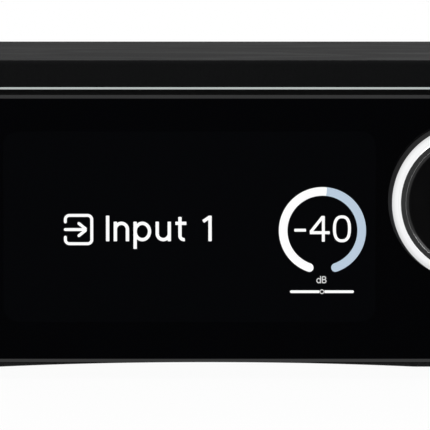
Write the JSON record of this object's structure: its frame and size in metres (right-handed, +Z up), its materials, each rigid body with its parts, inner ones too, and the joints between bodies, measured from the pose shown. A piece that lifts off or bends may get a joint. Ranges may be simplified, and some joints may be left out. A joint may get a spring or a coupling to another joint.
{
  "type": "stereo amplifier",
  "caption": "Low black stereo amplifier with a glossy glass front, a dark display, a large rotary knob with a bright rim, and rear loudspeaker, line and mains terminals.",
  "frame": {"origin": "centre of the footprint on the floor, midway between the knob's face and the ends of the loudspeaker caps", "axes": "+Z up, -Y towards the front with the display and the knob, +X to the right seen from the front"},
  "size_m": [0.22, 0.391, 0.085],
  "materials": {
    "hood_paint": "matte black powder coat",
    "polished_trim": "polished",
    "black_glass": "gloss black back-coated glass",
    "skirt_paint": "satin black",
    "black_plastic": "matte black moulding",
    "tray_steel": "satin black",
    "foot_rubber": "matte",
    "zinc_steel": "zinc plated",
    "black_steel": "black oxide",
    "display": "dark display",
    "knob_black": "black anodised",
    "knob_polish": "diamond-cut edge",
    "gloss_black": "gloss",
    "board": "circuit board",
    "receiver_red": "dark red lens",
    "nickel": "nickel plated",
    "gold_plate": "gold plated",
    "red_plastic": "red",
    "white_plastic": "white",
    "winding": "taped winding",
    "clamp_steel": "zinc plated",
    "black_aluminium": "black anodised",
    "can_sleeve": "blue sleeve",
    "ribbon_grey": "grey"
  },
  "bodies": {
    "case": {"hood": "hood_paint", "trim_strip": "polished_trim", "fascia_glass": "black_glass", "front_skirt": "skirt_paint", "fascia_frame": "black_plastic", "base_tray": "tray_steel", "rear_panel": "hood_paint", "feet": "foot_rubber", "foot_screws": "zinc_steel", "hood_screws": "black_steel", "rear_screws": "black_steel", "display_module": "display", "display_bracket": "zinc_steel", "board_screws": "zinc_steel", "encoder_housing": "black_plastic", "encoder_nut": "nickel", "control_board": "board", "standby_board": "board", "standby_switch": "black_plastic", "receiver_window": "receiver_red", "receiver": "black_plastic", "headphone_socket": "black_plastic", "headphone_nut": "nickel", "post_bases_red": "red_plastic", "post_bases_black": "black_plastic", "post_studs": "gold_plate", "earth_post": "gold_plate", "line_shells": "gold_plate", "line_inserts_white": "white_plastic", "line_inserts_red": "red_plastic", "line_blocks": "black_plastic", "input_board": "board", "mains_inlet": "black_plastic", "mains_pins": "nickel", "rocker_housing": "black_plastic", "transformer": "winding", "transformer_mount": "clamp_steel", "amplifier_boards": "board", "heat_sink": "black_aluminium", "reservoir_capacitors": "can_sleeve", "power_parts": "black_plastic", "ribbon_cable": "ribbon_grey"},
    "knob_push": {"encoder_push_plate": "white_plastic"},
    "knob": {"knob_body": "knob_black", "knob_rim": "knob_polish", "knob_face": "gloss_black", "knob_grub_screw": "black_steel", "encoder_shaft": "nickel"},
    "standby": {"standby_button": "gloss_black"},
    "mains_rocker": {"rocker": "gloss_black"},
    "earth_ring": {"earth_washer": "gold_plate"},
    "earth_nut": {"earth_thumb_nut": "gold_plate"},
    "clamp_1": {"post_washer_1": "gold_plate"},
    "cap_1": {"post_cap_1": "red_plastic"},
    "clamp_2": {"post_washer_2": "gold_plate"},
    "cap_2": {"post_cap_2": "black_plastic"},
    "clamp_3": {"post_washer_3": "gold_plate"},
    "cap_3": {"post_cap_3": "red_plastic"},
    "clamp_4": {"post_washer_4": "gold_plate"},
    "cap_4": {"post_cap_4": "black_plastic"}
  },
  "joints": [
    {"name": "knob_press", "type": "slide", "parent": "case", "child": "knob_push", "axis": [0, 1, 0], "range_m": [0, 0.0008], "stiffness_N_per_m": 1500},
    {"name": "knob_turn", "type": "hinge", "parent": "knob_push", "child": "knob", "pos_m": [0.069, -0.1815, 0.048], "axis": [0, 1, 0], "continuous": true},
    {"name": "standby_press", "type": "slide", "parent": "case", "child": "standby", "axis": [0, 1, 0], "range_m": [0, 0.0006], "stiffness_N_per_m": 800},
    {"name": "mains_switch", "type": "hinge", "parent": "case", "child": "mains_rocker", "pos_m": [-0.084, 0.1665, 0.06], "axis": [1, 0, 0], "range_deg": [0, 16]},
    {"name": "cap_1_lift", "type": "slide", "parent": "case", "child": "clamp_1", "axis": [0, 1, 0], "range_m": [0, 0.003]},
    {"name": "cap_1_turn", "type": "hinge", "parent": "clamp_1", "child": "cap_1", "pos_m": [-0.05, 0.1745, 0.026], "axis": [0, 1, 0], "range_deg": [0, 1080]},
    {"name": "cap_2_lift", "type": "slide", "parent": "case", "child": "clamp_2", "axis": [0, 1, 0], "range_m": [0, 0.003]},
    {"name": "cap_2_turn", "type": "hinge", "parent": "clamp_2", "child": "cap_2", "pos_m": [-0.031, 0.1745, 0.026], "axis": [0, 1, 0], "range_deg": [0, 1080]},
    {"name": "cap_3_lift", "type": "slide", "parent": "case", "child": "clamp_3", "axis": [0, 1, 0], "range_m": [0, 0.003]},
    {"name": "cap_3_turn", "type": "hinge", "parent": "clamp_3", "child": "cap_3", "pos_m": [-0.01, 0.1745, 0.026], "axis": [0, 1, 0], "range_deg": [0, 1080]},
    {"name": "cap_4_lift", "type": "slide", "parent": "case", "child": "clamp_4", "axis": [0, 1, 0], "range_m": [0, 0.003]},
    {"name": "cap_4_turn", "type": "hinge", "parent": "clamp_4", "child": "cap_4", "pos_m": [0.009, 0.1745, 0.026], "axis": [0, 1, 0], "range_deg": [0, 1080]},
    {"name": "earth_lift", "type": "slide", "parent": "case", "child": "earth_ring", "axis": [0, 1, 0], "range_m": [0, 0.0028]},
    {"name": "earth_turn", "type": "hinge", "parent": "earth_ring", "child": "earth_nut", "pos_m": [0.088, 0.1715, 0.024], "axis": [0, 1, 0], "range_deg": [0, 1440]}
  ],
  "couplings": [
    {"joint": "cap_1_turn", "follows": "cap_1_lift", "rad_per_m": 6283.2},
    {"joint": "cap_2_turn", "follows": "cap_2_lift", "rad_per_m": 6283.2},
    {"joint": "cap_3_turn", "follows": "cap_3_lift", "rad_per_m": 6283.2},
    {"joint": "cap_4_turn", "follows": "cap_4_lift", "rad_per_m": 6283.2},
    {"joint": "earth_turn", "follows": "earth_lift", "rad_per_m": 8976}
  ]
}
